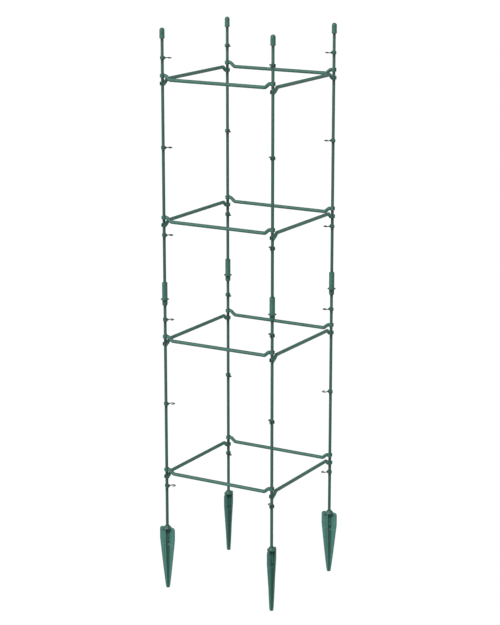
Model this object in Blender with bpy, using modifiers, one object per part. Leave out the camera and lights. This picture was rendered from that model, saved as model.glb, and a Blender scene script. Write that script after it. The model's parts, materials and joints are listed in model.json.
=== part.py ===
"""Square clip-together tower that holds up tomatoes and other climbing plants.

Four stakes stand on ground spikes.  Each stake is two tubes that meet inside a
coupler, with a cap on top.  Sixteen cranked bars snap round the stakes on four
levels, and twenty-four small hooks snap round them in between and swivel.

Sizes are in metres and +Z is up.  The origin is on the tower's centre line,
level with the spike tips.  Bars and hooks have their origin on the stake axis
that they turn about.
"""
from math import cos, pi, radians, sin, sqrt

import bmesh
import bpy
from mathutils import Matrix, Vector

# Whole tower
STAKE_SPACING = 0.320         # between the axes of neighbouring stakes
SEAT_GAP = 0.0003             # between pieces that are pushed home
FIT_GAP = 0.0003              # all round a stake inside a socket or a clip

# Half stake: a coated steel tube, two in each stake
STAKE_DIAMETER = 0.0080
STAKE_WALL = 0.0010
STAKE_LENGTH = 0.678

# Ground spike: a long blade crossed by a narrower rib, with a socket on top
BLADE_WIDTH = 0.0462
RIB_WIDTH = 0.024
TIP_WIDTH = 0.0105
FIN_THICKNESS = 0.0034
FIN_HEIGHT = 0.172            # tip to the top edge of the fins
TAPER_HEIGHT = 0.138          # tip to where the blade reaches its full width
TIP_CHAMFER = 0.0040
TIP_INSET = 0.0010            # how far the chamfer draws the tip in, each side
BLADE_TAPER_POWER = 0.90
RIB_TAPER_POWER = 0.72
SHOULDER_RADIUS = 0.0075
RIB_SHOULDER = 0.0050         # how far the ribs draw in over the same height
ROOT_FILLET = 0.0010
SOCKET_DIAMETER = 0.0128
MOUTH_DIAMETER = 0.0104       # top of the cone that the collar's roof makes
MOUTH_HEIGHT = 0.0055         # above the fins
COLLAR_DIAMETER = 0.0240
COLLAR_EDGE = 0.0012
COLLAR_DROP = 0.0035          # collar's lower edge below the top of the fins
SOCKET_DEPTH = 0.0427
DRAIN_DIAMETER = 0.0042
DRAIN_DROP = 0.0034           # from the socket floor to the drain's cross holes
WEB_DROP = 0.0099             # from the drain's cross holes to the filled web
WEB_RUNOUT = 0.0085           # height over which the filled web runs out
CUT_OVERLAP = 0.0012          # how far a cutter reaches past the face it opens

# Coupler between the two tubes of a stake
COUPLER_DIAMETER = 0.0143
COUPLER_LOWER_DIAMETER = 0.0140
COUPLER_UPPER_BORE = 0.0286
COUPLER_LOWER_BORE = 0.0310
COUPLER_WEB = 0.0020
COUPLER_CHAMFER = 0.0010
COUPLER_NOSE = 0.0030         # height of the taper at the lower end
COUPLER_NOSE_WALL = 0.0012
FLANGE_DIAMETER = 0.0220
FLANGE_THICKNESS = 0.0018
FLANGE_HEIGHT = 0.0160        # lower end to the underside of the flange

# Cap on top of a stake
CAP_DIAMETER = 0.0132
CAP_RIM_DIAMETER = 0.0138
CAP_RIM_HEIGHT = 0.0050
CAP_RIM_CHAMFER = 0.0008
CAP_BORE_DEPTH = 0.0208

# Cross bar, with a clip at each end
BAR_DIAMETER = 0.0093
BAR_CRANK = 0.0100            # clip's height above the middle of the bar
CRANK_START = 0.0100          # from the stake axis
CRANK_END = 0.0220
CRANK_BEND = 0.0022           # how far each bend is cut back along the tube
CLIP_HEIGHT = 0.0096
CLIP_WALL = 0.0023
CLIP_WRAP = radians(122)      # to each side of the bar
LIP_LENGTH = 0.0020
LIP_OUTER_LENGTH = 0.0012
LIP_FLARE = radians(45)
BAR_ROOT = 0.0012             # bar's end from the bore of its clip

# Swivel hook
HOOK_HEIGHT = 0.0085
HOOK_WALL = 0.0023
ROOT_THICKNESS = 0.0028
ROOT_BURY = 0.0010            # root's start from the bore of its clip
ROOT_TIP = 0.0098             # from the stake axis to the end of the root
ROOT_MARGIN = 0.0008          # how far the root stops short of the clip's edges
ARM_DIAMETER = 0.0025
ARM_BURY = 0.0010             # arm's start inside the end of the root
LOOP_CENTRE = 0.0166          # from the stake axis
LOOP_RADIUS = 0.0058
LOOP_SHIFT = 0.0015           # sideways, towards the open side of the loop
LOOP_START = radians(130)
LOOP_END = radians(-115)

# Where the bars and the hooks sit on each half stake
FIRST_BAR_HEIGHT = 0.1895     # above the tube's lower end
LAST_BAR_DROP = 0.1240        # below the tube's upper end
HOOK_BELOW_BAR = 0.0367
HOOK_ABOVE_BAR = 0.0547
MIDDLE_HOOK_SHIFT = 0.0086    # above the point halfway between the bars

# Facets
TURN_STEPS = 12
HOLE_STEPS = 6
BAR_BEVEL_STEPS = 2
ARM_BEVEL_STEPS = 1
CLIP_STEPS = 6
BORE_STEPS = 4
LOOP_STEPS = 6
SHOULDER_STEPS = 3
DOME_STEPS = 3
WEB_STEPS = 3
MERGE = 0.00001

# Worked out from the sizes above
STAKE_RADIUS = STAKE_DIAMETER / 2
BORE_RADIUS = (STAKE_RADIUS + FIT_GAP) / cos(pi / TURN_STEPS)
SPIKE_HEIGHT = FIN_HEIGHT + MOUTH_HEIGHT
SOCKET_FLOOR = SPIKE_HEIGHT - SOCKET_DEPTH
DRAIN_HEIGHT = SOCKET_FLOOR - DRAIN_DROP
WEB_TOP = DRAIN_HEIGHT - WEB_DROP
LOWER_STAKE_BASE = SOCKET_FLOOR + SEAT_GAP
COUPLER_LENGTH = COUPLER_LOWER_BORE + COUPLER_WEB + COUPLER_UPPER_BORE
COUPLER_BASE = LOWER_STAKE_BASE + STAKE_LENGTH + SEAT_GAP - COUPLER_LOWER_BORE
UPPER_STAKE_BASE = COUPLER_BASE + COUPLER_LOWER_BORE + COUPLER_WEB + SEAT_GAP
CAP_LENGTH = CAP_BORE_DEPTH + CAP_DIAMETER / 2
CAP_BASE = UPPER_STAKE_BASE + STAKE_LENGTH + SEAT_GAP - CAP_BORE_DEPTH
STAKE_BASES = (UPPER_STAKE_BASE, LOWER_STAKE_BASE)

# Corner: sign of X and Y, turn of its hooks, turn of its spike
CORNERS = {
    "front_left": (-1, -1, radians(45), 0.0),
    "front_right": (1, -1, radians(135), radians(90)),
    "back_right": (1, 1, radians(225), 0.0),
    "back_left": (-1, 1, radians(315), radians(90)),
}
# Side: corner that its bars turn about, their direction, clips above or below
SIDES = {
    "front": ("front_left", 0.0, False),
    "right": ("front_right", radians(90), True),
    "back": ("back_left", 0.0, False),
    "left": ("front_left", radians(90), True),
}


def clear_scene():
    for obj in list(bpy.data.objects):
        bpy.data.objects.remove(obj, do_unlink=True)


def make_collection(name):
    collection = bpy.data.collections.new(name)
    bpy.context.scene.collection.children.link(collection)
    return collection


def make_material(name, colour, roughness):
    material = bpy.data.materials.new(name)
    material.use_nodes = True
    shader = material.node_tree.nodes["Principled BSDF"]
    shader.inputs["Base Color"].default_value = (*colour, 1.0)
    shader.inputs["Roughness"].default_value = roughness
    shader.inputs["Metallic"].default_value = 0.0
    return material


def link(obj):
    bpy.context.scene.collection.objects.link(obj)
    return obj


def as_mesh_object(obj):
    """Replace an object by a plain mesh of what its curve or modifiers give."""
    graph = bpy.context.evaluated_depsgraph_get()
    mesh = bpy.data.meshes.new_from_object(obj.evaluated_get(graph), depsgraph=graph)
    clean = bmesh.new()
    clean.from_mesh(mesh)
    bmesh.ops.remove_doubles(clean, verts=clean.verts, dist=MERGE)
    clean.to_mesh(mesh)
    clean.free()
    solid = link(bpy.data.objects.new(obj.name + "_mesh", mesh))
    solid.matrix_world = obj.matrix_world.copy()
    bpy.data.objects.remove(obj, do_unlink=True)
    return solid


def combine(base, tools, operation):
    """Unite the base with the tools, or cut them out of it, and remove them."""
    for tool in tools:
        boolean = base.modifiers.new(operation.lower(), "BOOLEAN")
        boolean.operation = operation
        boolean.solver = "EXACT"
        boolean.object = tool
    bpy.context.view_layer.update()
    solid = as_mesh_object(base)
    for tool in tools:
        bpy.data.objects.remove(tool, do_unlink=True)
    return solid


def take_mesh(obj, name):
    """Keep a finished shape's mesh, with flat areas merged, and drop the object."""
    mesh = obj.data
    tidy = bmesh.new()
    tidy.from_mesh(mesh)
    bmesh.ops.dissolve_limit(
        tidy, angle_limit=radians(0.2), verts=tidy.verts, edges=tidy.edges)
    tidy.to_mesh(mesh)
    tidy.free()
    mesh.name = name
    mesh.shade_smooth()
    mesh.set_sharp_from_angle(angle=radians(40))
    bpy.data.objects.remove(obj, do_unlink=True)
    return mesh


def turned(name, profile, closed=False):
    """Spin a profile of (radius, height) points, top to bottom, round Z."""
    mesh = bpy.data.meshes.new(name)
    points = [(radius, 0.0, height) for radius, height in profile]
    edges = [(i, i + 1) for i in range(len(points) - 1)]
    if closed:
        edges.append((len(points) - 1, 0))
    mesh.from_pydata(points, edges, [])
    obj = link(bpy.data.objects.new(name, mesh))
    screw = obj.modifiers.new("turn", "SCREW")
    screw.steps = TURN_STEPS
    screw.render_steps = TURN_STEPS
    screw.use_merge_vertices = True
    screw.merge_threshold = MERGE
    return obj


def wire(name, points, diameter, bevel):
    """Round rod along a list of points, with filled ends, as a mesh object."""
    curve = bpy.data.curves.new(name, "CURVE")
    curve.dimensions = "3D"
    curve.bevel_depth = diameter / 2
    curve.bevel_resolution = bevel
    curve.use_fill_caps = True
    spline = curve.splines.new("POLY")
    spline.points.add(len(points) - 1)
    for control, point in zip(spline.points, points):
        control.co = (*point, 1.0)
    return as_mesh_object(link(bpy.data.objects.new(name, curve)))


def plate(name, outline, thickness):
    """Flat outline in XY, thickened evenly about its plane, as a mesh object."""
    curve = bpy.data.curves.new(name, "CURVE")
    curve.dimensions = "2D"
    curve.fill_mode = "BOTH"
    curve.extrude = thickness / 2
    spline = curve.splines.new("POLY")
    spline.use_cyclic_u = True
    spline.points.add(len(outline) - 1)
    for control, point in zip(spline.points, outline):
        control.co = (*point, 0.0, 1.0)
    return as_mesh_object(link(bpy.data.objects.new(name, curve)))


def drill(name, diameter, start, end, sides):
    """Cylinder between two points, for cutting a round hole."""
    start, end = Vector(start), Vector(end)
    along = end - start
    mesh = bpy.data.meshes.new(name)
    rod = bmesh.new()
    bmesh.ops.create_cone(
        rod, cap_ends=True, segments=sides, radius1=diameter / 2,
        radius2=diameter / 2, depth=along.length)
    turn = along.to_track_quat("Z", "Y").to_matrix().to_4x4()
    rod.transform(Matrix.Translation((start + end) / 2) @ turn)
    rod.to_mesh(mesh)
    rod.free()
    return link(bpy.data.objects.new(name, mesh))


def polar(radius, angle):
    return Vector((radius * cos(angle), radius * sin(angle)))


def arc(radius, start, end, steps):
    return [polar(radius, start + (end - start) * i / steps) for i in range(steps + 1)]


def clip_outline(wall):
    """C shape round the stake: open at -X, with lips that flare outwards."""
    inner = (STAKE_RADIUS + FIT_GAP) / cos(CLIP_WRAP / BORE_STEPS)
    outer = STAKE_RADIUS + FIT_GAP + wall
    lip = polar(1.0, CLIP_WRAP + pi / 2 - LIP_FLARE)
    outside = arc(outer, -CLIP_WRAP, CLIP_WRAP, CLIP_STEPS)
    inside = arc(inner, CLIP_WRAP, -CLIP_WRAP, BORE_STEPS)
    upper_lip = [outside[-1] + lip * LIP_OUTER_LENGTH, inside[0] + lip * LIP_LENGTH]
    lower_lip = [Vector((point.x, -point.y)) for point in reversed(upper_lip)]
    return outside + upper_lip + inside + lower_lip


def make_stake():
    inner = STAKE_RADIUS - STAKE_WALL
    profile = [
        (STAKE_RADIUS, STAKE_LENGTH),
        (STAKE_RADIUS, 0.0),
        (inner, 0.0),
        (inner, STAKE_LENGTH),
    ]
    return take_mesh(as_mesh_object(turned("half_stake", profile, closed=True)), "half_stake")


def make_coupler():
    """Sleeve with a socket at each end, a web between them and a stop flange."""
    upper = COUPLER_DIAMETER / 2
    lower = COUPLER_LOWER_DIAMETER / 2
    flange = FLANGE_DIAMETER / 2
    flange_top = FLANGE_HEIGHT + FLANGE_THICKNESS
    web_top = COUPLER_LOWER_BORE + COUPLER_WEB
    profile = [
        (0.0, web_top),
        (BORE_RADIUS, web_top),
        (BORE_RADIUS, COUPLER_LENGTH),
        (upper - COUPLER_CHAMFER, COUPLER_LENGTH),
        (upper, COUPLER_LENGTH - COUPLER_CHAMFER),
        (upper, flange_top),
        (flange, flange_top),
        (flange, FLANGE_HEIGHT),
        (lower, FLANGE_HEIGHT),
        (lower, COUPLER_NOSE),
        (BORE_RADIUS + COUPLER_NOSE_WALL, 0.0),
        (BORE_RADIUS, 0.0),
        (BORE_RADIUS, COUPLER_LOWER_BORE),
        (0.0, COUPLER_LOWER_BORE),
    ]
    return take_mesh(as_mesh_object(turned("coupler", profile)), "coupler")


def make_cap():
    """Round-headed cap: a dome, a slightly tapered skirt and a thicker rim."""
    radius = CAP_DIAMETER / 2
    rim = CAP_RIM_DIAMETER / 2
    dome_base = CAP_LENGTH - radius
    profile = [(0.0, CAP_LENGTH)]
    for point in arc(radius, pi / 2, 0.0, DOME_STEPS)[1:]:
        profile.append((point.x, dome_base + point.y))
    profile += [
        (radius, CAP_RIM_HEIGHT),
        (rim, CAP_RIM_HEIGHT - CAP_RIM_CHAMFER),
        (rim, CAP_RIM_CHAMFER),
        (rim - CAP_RIM_CHAMFER, 0.0),
        (BORE_RADIUS, 0.0),
        (BORE_RADIUS, CAP_BORE_DEPTH),
        (0.0, CAP_BORE_DEPTH),
    ]
    return take_mesh(as_mesh_object(turned("cap", profile)), "cap")


def half_width(height, width, power, shoulder):
    """Half width of the blade or the rib at a height above the tip."""
    share = min(height / TAPER_HEIGHT, 1.0) ** power
    above = max(height - (FIN_HEIGHT - SHOULDER_RADIUS), 0.0) / SHOULDER_RADIUS
    inset = shoulder * (1 - sqrt(max(1 - above ** 2, 0.0)))
    return (TIP_WIDTH + (width - TIP_WIDTH) * share) / 2 - inset


def spike_section(height, half_blade, half_rib, fill):
    """Cross-shaped loop; fill 1 rounds the corners out to a hollow-sided star."""
    half = FIN_THICKNESS / 2
    quarter = []
    for i in range(WEB_STEPS + 1):
        turn = pi / 2 * i / WEB_STEPS
        star = Vector((
            half + (half_blade - half) * (1 - sin(turn)),
            half + (half_rib - half) * (1 - cos(turn)),
        ))
        corner = Vector((half + ROOT_FILLET * cos(turn), half + ROOT_FILLET * sin(turn)))
        inside = 0 < i < WEB_STEPS
        quarter.append(corner.lerp(star, fill) if inside else star)
    loop = [(p.x, p.y) for p in quarter]
    loop += [(-p.x, p.y) for p in reversed(quarter)]
    loop += [(-p.x, -p.y) for p in quarter]
    loop += [(p.x, -p.y) for p in reversed(quarter)]
    return [(x, y, height) for x, y in loop]


def spike_sections():
    """Sections from the tip up: star, then thin fins, then rounded shoulders."""
    heights = {WEB_TOP + WEB_RUNOUT, TAPER_HEIGHT}
    for i in range(WEB_STEPS + 1):
        heights.add(TIP_CHAMFER + (WEB_TOP - TIP_CHAMFER) * i / WEB_STEPS)
    for i in range(SHOULDER_STEPS + 1):
        heights.add(FIN_HEIGHT - SHOULDER_RADIUS * (1 - sin(pi / 2 * i / SHOULDER_STEPS)))
    tip = TIP_WIDTH / 2 - TIP_INSET
    sections = [spike_section(0.0, tip, tip, 1.0)]
    for height in sorted(heights):
        blade = half_width(height, BLADE_WIDTH, BLADE_TAPER_POWER, SHOULDER_RADIUS)
        rib = half_width(height, RIB_WIDTH, RIB_TAPER_POWER, RIB_SHOULDER)
        sections.append(spike_section(height, blade, rib, float(height <= WEB_TOP)))
    return sections


def loft(name, sections):
    """Closed skin through loops that all have the same number of points."""
    mesh = bpy.data.meshes.new(name)
    skin = bmesh.new()
    loops = [[skin.verts.new(point) for point in section] for section in sections]
    count = len(loops[0])
    for lower, upper in zip(loops, loops[1:]):
        for i in range(count):
            j = (i + 1) % count
            skin.faces.new((lower[i], lower[j], upper[j], upper[i]))
    skin.faces.new(reversed(loops[0]))
    skin.faces.new(loops[-1])
    bmesh.ops.triangulate(skin, faces=skin.faces)
    skin.to_mesh(mesh)
    skin.free()
    return link(bpy.data.objects.new(name, mesh))


def make_spike():
    """Ground spike: lofted blade and rib, a turned socket and its drain holes."""
    mouth = MOUTH_DIAMETER / 2
    socket_radius = SOCKET_DIAMETER / 2
    collar = COLLAR_DIAMETER / 2
    collar_base = FIN_HEIGHT - COLLAR_DROP
    profile = [
        (0.0, SPIKE_HEIGHT),
        (mouth, SPIKE_HEIGHT),
        (collar, collar_base + COLLAR_EDGE),
        (collar, collar_base),
        (socket_radius, collar_base),
        (socket_radius, WEB_TOP),
        (0.0, WEB_TOP),
    ]
    socket = as_mesh_object(turned("socket", profile))
    spike = combine(loft("blade", spike_sections()), [socket], "UNION")
    reach = SOCKET_DIAMETER
    cuts = [
        drill("bore", 2 * BORE_RADIUS, (0, 0, SOCKET_FLOOR),
              (0, 0, SPIKE_HEIGHT + CUT_OVERLAP), TURN_STEPS),
        drill("drain", DRAIN_DIAMETER, (0, 0, DRAIN_HEIGHT),
              (0, 0, SOCKET_FLOOR + CUT_OVERLAP), HOLE_STEPS),
    ]
    for angle in (radians(45), radians(135)):
        side = polar(reach, angle)
        cuts.append(drill("cross_hole", DRAIN_DIAMETER, (-side.x, -side.y, DRAIN_HEIGHT),
                          (side.x, side.y, DRAIN_HEIGHT), HOLE_STEPS))
    for cut in cuts:
        spike = combine(spike, [cut], "DIFFERENCE")
    return take_mesh(spike, "spike")


def crank_points():
    """Centre line of a bar's first end: out of the clip, down the crank."""
    start = STAKE_RADIUS + FIT_GAP + BAR_ROOT
    knee = Vector((CRANK_START, 0.0, BAR_CRANK))
    foot = Vector((CRANK_END, 0.0, 0.0))
    slope = (foot - knee).normalized()
    level = Vector((1.0, 0.0, 0.0))
    return [
        Vector((start, 0.0, BAR_CRANK)),
        knee - level * CRANK_BEND,
        knee + slope * CRANK_BEND,
        foot - slope * CRANK_BEND,
        foot + level * CRANK_BEND,
    ]


def make_bar():
    """Cranked bar from the stake axis at the origin to the next one along +X."""
    near = crank_points()
    far = [Vector((STAKE_SPACING - p.x, 0.0, p.z)) for p in reversed(near)]
    rod = wire("bar", near + far, BAR_DIAMETER, BAR_BEVEL_STEPS)
    clips = []
    for x, turn in ((0.0, 0.0), (STAKE_SPACING, pi)):
        clip = plate("clip", clip_outline(CLIP_WALL), CLIP_HEIGHT)
        clip.matrix_world = Matrix.Translation((x, 0.0, BAR_CRANK)) @ Matrix.Rotation(turn, 4, "Z")
        clips.append(clip)
    return take_mesh(combine(rod, clips, "UNION"), "bar")


def hook_path():
    """Arm's centre line: out of the root, then round an open loop."""
    centre = Vector((LOOP_CENTRE, -LOOP_SHIFT))
    points = [Vector((ROOT_TIP - ARM_BURY, 0.0))]
    points += [centre + point for point in arc(LOOP_RADIUS, LOOP_START, LOOP_END, LOOP_STEPS)]
    return [(p.x, p.y, 0.0) for p in points]


def make_hook():
    """Clip with its mouth at -X, and a tapered root that carries a looped arm."""
    clip = plate("clip", clip_outline(HOOK_WALL), HOOK_HEIGHT)
    arm = wire("arm", hook_path(), ARM_DIAMETER, ARM_BEVEL_STEPS)
    base = STAKE_RADIUS + FIT_GAP + ROOT_BURY
    high = HOOK_HEIGHT / 2 - ROOT_MARGIN
    low = ARM_DIAMETER / 2
    root = plate("root", [(base, -high), (ROOT_TIP, -low), (ROOT_TIP, low), (base, high)],
                 ROOT_THICKNESS)
    root.matrix_world = Matrix.Rotation(pi / 2, 4, "X")
    return take_mesh(combine(clip, [root, arm], "UNION"), "hook")


def place(name, mesh, material, collection, parent, location, turn=Matrix.Identity(4)):
    """One object of the tower, on its own copy of the material."""
    obj = bpy.data.objects.new(name, mesh)
    collection.objects.link(obj)
    obj.parent = parent
    obj.matrix_local = Matrix.Translation(location) @ turn
    obj.material_slots[0].link = "OBJECT"
    obj.material_slots[0].material = material.copy()
    obj.material_slots[0].material.name = name
    return obj


def bar_heights():
    """Heights of the four bar levels, from the top down."""
    heights = []
    for base in STAKE_BASES:
        heights += [base + STAKE_LENGTH - LAST_BAR_DROP, base + FIRST_BAR_HEIGHT]
    return heights


def hook_heights():
    """Heights of the six hooks on a stake, from the top down."""
    heights = []
    for base in STAKE_BASES:
        low_bar = base + FIRST_BAR_HEIGHT
        high_bar = base + STAKE_LENGTH - LAST_BAR_DROP
        heights += [
            high_bar + HOOK_ABOVE_BAR,
            (low_bar + high_bar) / 2 + MIDDLE_HOOK_SHIFT,
            low_bar - HOOK_BELOW_BAR,
        ]
    return heights


def build():
    clear_scene()
    tower = make_collection("plant_tower")
    coated = make_material("coated_tube", (0.027, 0.124, 0.097), 0.36)
    moulded = make_material("moulded_plastic", (0.031, 0.136, 0.108), 0.46)
    meshes = {
        "stake": make_stake(),
        "coupler": make_coupler(),
        "cap": make_cap(),
        "spike": make_spike(),
        "bar": make_bar(),
        "hook": make_hook(),
    }
    for mesh in meshes.values():
        mesh.materials.clear()
        mesh.materials.append(moulded)

    corners = {}
    for corner, (side_x, side_y, hook_turn, spike_turn) in CORNERS.items():
        axis = bpy.data.objects.new("axis_" + corner, None)
        tower.objects.link(axis)
        axis.location = (side_x * STAKE_SPACING / 2, side_y * STAKE_SPACING / 2, 0.0)
        corners[corner] = axis
        pieces = (
            ("spike", "spike", moulded, 0.0, spike_turn),
            ("lower_stake", "stake", coated, LOWER_STAKE_BASE, 0.0),
            ("coupler", "coupler", moulded, COUPLER_BASE, 0.0),
            ("upper_stake", "stake", coated, UPPER_STAKE_BASE, 0.0),
            ("cap", "cap", moulded, CAP_BASE, 0.0),
        )
        for piece, mesh, material, height, turn in pieces:
            place(f"{piece}_{corner}", meshes[mesh], material, tower, axis,
                  (0.0, 0.0, height), Matrix.Rotation(turn, 4, "Z"))
        for number, height in enumerate(hook_heights(), start=1):
            place(f"hook_{corner}_{number}", meshes["hook"], moulded, tower, axis,
                  (0.0, 0.0, height), Matrix.Rotation(hook_turn, 4, "Z"))

    for side, (corner, direction, upside_down) in SIDES.items():
        turn = Matrix.Rotation(direction, 4, "Z")
        if upside_down:
            turn = turn @ Matrix.Rotation(pi, 4, "X")
        for number, height in enumerate(bar_heights(), start=1):
            place(f"bar_{side}_{number}", meshes["bar"], moulded, tower, corners[corner],
                  (0.0, 0.0, height), turn)

    for name, mesh in meshes.items():
        triangles = sum(len(face.vertices) - 2 for face in mesh.polygons)
        print(f"{name}: {triangles} triangles")


build()
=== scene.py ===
# %% [markdown]
# # Dressing a plant support tower
#
# The tower stands on four stakes. Each stake is two plastic-coated steel tubes, pushed into a coupler
# half way up, into a ground spike at the bottom and into a round-headed cap at the top. Moulded bars
# snap round the stakes on four levels, and small hooks for tying the plant snap round them in between.
#
# The plain solids of these pieces are packed already, each in its place. They could be smoothed and
# kept, but their facets are coarse. So this lesson makes each kind of piece once more in fine mesh, sets
# it exactly where its solid is, and gives it a finish. First it loads the solids and keeps their box.

# %% Load the solids
import json
from math import cos, pi, radians, sin, sqrt

import bmesh
import bpy
from mathutils import Matrix, Vector


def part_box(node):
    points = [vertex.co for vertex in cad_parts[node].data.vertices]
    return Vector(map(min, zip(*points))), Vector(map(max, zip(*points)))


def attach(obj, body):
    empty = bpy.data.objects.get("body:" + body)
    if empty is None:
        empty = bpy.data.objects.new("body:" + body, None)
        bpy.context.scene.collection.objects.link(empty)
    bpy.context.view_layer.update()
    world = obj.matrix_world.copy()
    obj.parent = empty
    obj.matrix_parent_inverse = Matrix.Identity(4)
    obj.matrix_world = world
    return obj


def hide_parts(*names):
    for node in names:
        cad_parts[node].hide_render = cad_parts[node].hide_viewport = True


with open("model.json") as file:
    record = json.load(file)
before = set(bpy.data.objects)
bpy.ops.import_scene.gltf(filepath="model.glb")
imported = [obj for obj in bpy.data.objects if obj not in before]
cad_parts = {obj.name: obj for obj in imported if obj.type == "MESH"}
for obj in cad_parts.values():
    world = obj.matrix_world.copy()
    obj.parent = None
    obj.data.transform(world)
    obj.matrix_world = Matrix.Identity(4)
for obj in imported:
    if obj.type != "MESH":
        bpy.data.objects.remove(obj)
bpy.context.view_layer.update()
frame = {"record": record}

# %% [markdown]
# ## A skin through rings of points
#
# Tubes, caps, bars, clips and spikes all have a section that changes slowly along one line. Modifiers
# could spin or sweep them, but then a mould line or a rounded lip is hard to add. Here every piece is a
# stack of rings with equally many points, joined by quads. Points that fall together are merged after,
# so a ring may also shrink to one point at a pole. Facets that meet at a small angle share their
# normals, and the rest stay crisp.

# %% Skin
MERGE = 0.000004
SHARP_EDGE = radians(38)


def finished(mesh):
    """The mesh with soft shading, and crisp edges where facets meet at more than the sharp angle."""
    mesh.shade_smooth()
    mesh.set_sharp_from_angle(angle=SHARP_EDGE)
    return mesh


def skin(name, rings, closed=False):
    """Mesh through rings of equally many points, with flat ends unless it is closed."""
    shell = bmesh.new()
    loops = [[shell.verts.new(point) for point in ring] for ring in rings]
    following = loops[1:] + (loops[:1] if closed else [])
    count = len(loops[0])
    for lower, upper in zip(loops, following):
        for i in range(count):
            j = (i + 1) % count
            shell.faces.new((lower[i], lower[j], upper[j], upper[i]))
    if not closed:
        shell.faces.new(reversed(loops[0]))
        shell.faces.new(loops[-1])
    bmesh.ops.remove_doubles(shell, verts=shell.verts, dist=MERGE)
    bmesh.ops.recalc_face_normals(shell, faces=shell.faces)
    mesh = bpy.data.meshes.new(name)
    shell.to_mesh(mesh)
    shell.free()
    print(f"{name}: {len(mesh.polygons)} faces")
    return finished(mesh)


print("points closer than", MERGE * 1000, "mm become one")

# %% [markdown]
# ## Rounding a line's corners
#
# No moulded edge is a knife edge. Bevels could be added to each mesh, but it is simpler to round the
# line that a mesh is made from. Each corner is replaced by a short curve between two points on the
# straights that meet there. The same helper rounds the profile of a cap and the bend of a bar.

# %% Rounded lines
def polar(radius, angle):
    """Point at an angle on a circle about the origin."""
    return Vector((radius * cos(angle), radius * sin(angle)))


def arc(radius, start, end, steps):
    """Points along an arc about the origin."""
    return [polar(radius, start + (end - start) * i / steps) for i in range(steps + 1)]


def softened(points, cut, steps=4):
    """The same line with a curve at each corner that starts a cut's length before it."""
    points = [Vector(point) for point in points]
    line = [points[0]]
    for before, corner, after in zip(points, points[1:], points[2:]):
        back = before - corner
        ahead = after - corner
        first = corner + back.normalized() * min(cut, back.length / 2)
        last = corner + ahead.normalized() * min(cut, ahead.length / 2)
        for i in range(steps + 1):
            t = i / steps
            line.append(first.lerp(corner, t).lerp(corner.lerp(last, t), t))
    return line + [points[-1]]


print("one softened corner:", len(softened([(0, 0), (1, 0), (1, 1)], 0.2)), "points")

# %% [markdown]
# ## Turned pieces
#
# The tubes, couplers, caps and sockets are round about the stake. A profile of radius and height is
# carried round in 64 steps. The two halves of a mould leave a fine line of flash on each side of a
# moulded piece, so a point on each side stands proud by the thickness of a hair. The width of its foot
# is turned into an angle at one usual radius, so that the line stays straight where the radius changes.
# Narrow walls, such as a bore, have none.

# %% Turned
TURNS = 64
USUAL_RADIUS = 0.006
FLASH = 0.00008
FLASH_HALF_WIDTH = 0.00016
FLASH_RADIUS = 0.0055
FLASH_FADE = 0.0006


def moulded_circle(radius, turns, seam, proud, foot):
    """Points round a circle, with a line of flash at the seam's point and opposite to it."""
    ring = []
    for i in range(turns):
        angle = 2 * pi * i / turns
        if i % (turns // 2) == seam:
            peak = polar(radius + proud, angle)
            ring += [polar(radius, angle - foot), peak, polar(radius, angle + foot)]
        else:
            ring.append(polar(radius, angle))
    return ring


def turned_ring(radius, height, flash):
    """Ring at one height, with flash only where the radius is that of an outer wall."""
    proud = flash * min(max((radius - FLASH_RADIUS) / FLASH_FADE, 0.0), 1.0)
    ring = moulded_circle(radius, TURNS, 0, proud, FLASH_HALF_WIDTH / USUAL_RADIUS)
    return [(p.x, p.y, height) for p in ring]


def turned(name, profile, flash=0.0, closed=False):
    """Mesh of a profile of (radius, height) points that is carried round the axis."""
    rings = [turned_ring(radius, height, flash) for radius, height in profile]
    return skin(name, rings, closed)


print("one turned ring:", len(turned_ring(USUAL_RADIUS, 0.0, FLASH)), "points")

# %% [markdown]
# ## The tubes
#
# A thin steel tube with a skin of plastic is cut to length, so its ends are square with the edge just
# broken. The wall is made too, because the ends can be seen when a piece is pulled off. The profile is
# a closed line that starts half way up the bore, so that all four of its corners can be rounded.

# %% Half stake
TUBE_RADIUS = 0.0040
TUBE_WALL = 0.0010
TUBE_EDGE = 0.0003


def make_tube(length):
    """Tube of one length, standing on its lower end."""
    inner = TUBE_RADIUS - TUBE_WALL
    middle = (inner, length / 2)
    corners = [(inner, 0.0), (TUBE_RADIUS, 0.0), (TUBE_RADIUS, length), (inner, length)]
    return turned("tube", softened([middle, *corners, middle], TUBE_EDGE, steps=3)[:-1], closed=True)


low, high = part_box("lower_stake_front_left")
tube_mesh = make_tube(high.z - low.z)
print("tube length", round(high.z - low.z, 4))

# %% [markdown]
# ## The coupler
#
# The coupler takes the lower tube from below and the upper tube from above, up to a web between them.
# A thin flange low on it stops a hook from sliding past. It could be put together from cylinders, but
# one turned profile gives the outside and both bores at once. It is moulded, so all its edges are
# rounded and it has a mould line.

# %% Coupler
FIT_GAP = 0.0003
GRIP_RADIUS = TUBE_RADIUS + FIT_GAP
MOULDED_EDGE = 0.0004
NOSE_RADIUS = 0.0057
NOSE_HEIGHT = 0.0030
COUPLER_LOWER = 0.0070
COUPLER_UPPER = 0.00715
COUPLER_CHAMFER = 0.0010
FLANGE_RADIUS = 0.0110
FLANGE_BASE = 0.0160
FLANGE_THICKNESS = 0.0018
FLANGE_TOP = FLANGE_BASE + FLANGE_THICKNESS
LOWER_BORE = 0.0310
COUPLER_WEB = 0.0020
UPPER_BORE = 0.0286
COUPLER_WEB_TOP = LOWER_BORE + COUPLER_WEB
COUPLER_LENGTH = COUPLER_WEB_TOP + UPPER_BORE

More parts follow.
